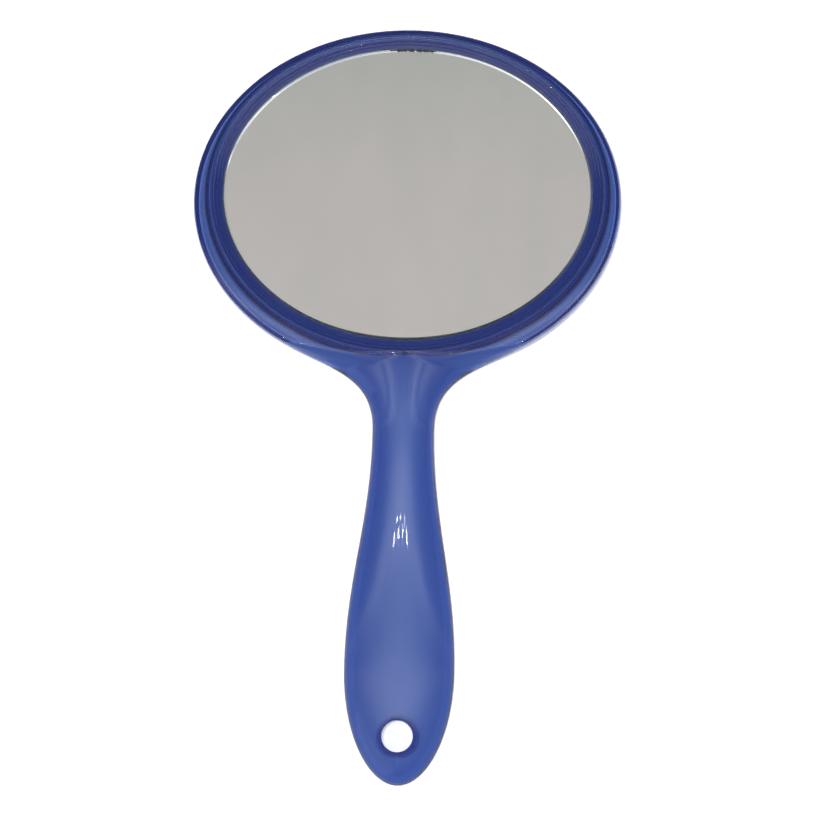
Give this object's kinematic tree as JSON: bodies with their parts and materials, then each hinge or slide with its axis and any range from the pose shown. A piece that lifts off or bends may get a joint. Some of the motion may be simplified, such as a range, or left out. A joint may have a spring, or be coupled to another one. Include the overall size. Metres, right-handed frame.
{
  "type": "hand mirror",
  "caption": "Two-sided oval hand mirror in translucent moulded plastic, with a long paddle handle and a hanging hole.",
  "frame": {"origin": "middle of the length and width, on the plane that the rear rim rests on", "axes": "+Z out of the front mirror, +Y from the handle to the head, X across the head; the mirror lies flat, front up"},
  "size_m": [0.159, 0.28, 0.014],
  "materials": {
    "translucent_shell": "glossy translucent blue",
    "translucent_bezel": "glossy translucent dark blue",
    "glass": "clear polished",
    "silvering": "silver coat with grey backing paint",
    "core_board": "matt black board",
    "foam": "closed-cell foam"
  },
  "bodies": {
    "root": {"front_shell": "translucent_shell", "rear_shell": "translucent_shell", "front_bezel": "translucent_bezel", "rear_bezel": "translucent_bezel", "front_glass": "glass", "rear_glass": "glass", "front_silvering": "silvering", "rear_silvering": "silvering", "core_plate": "core_board", "front_foam_ring": "foam", "rear_foam_ring": "foam"}
  },
  "joints": []
}
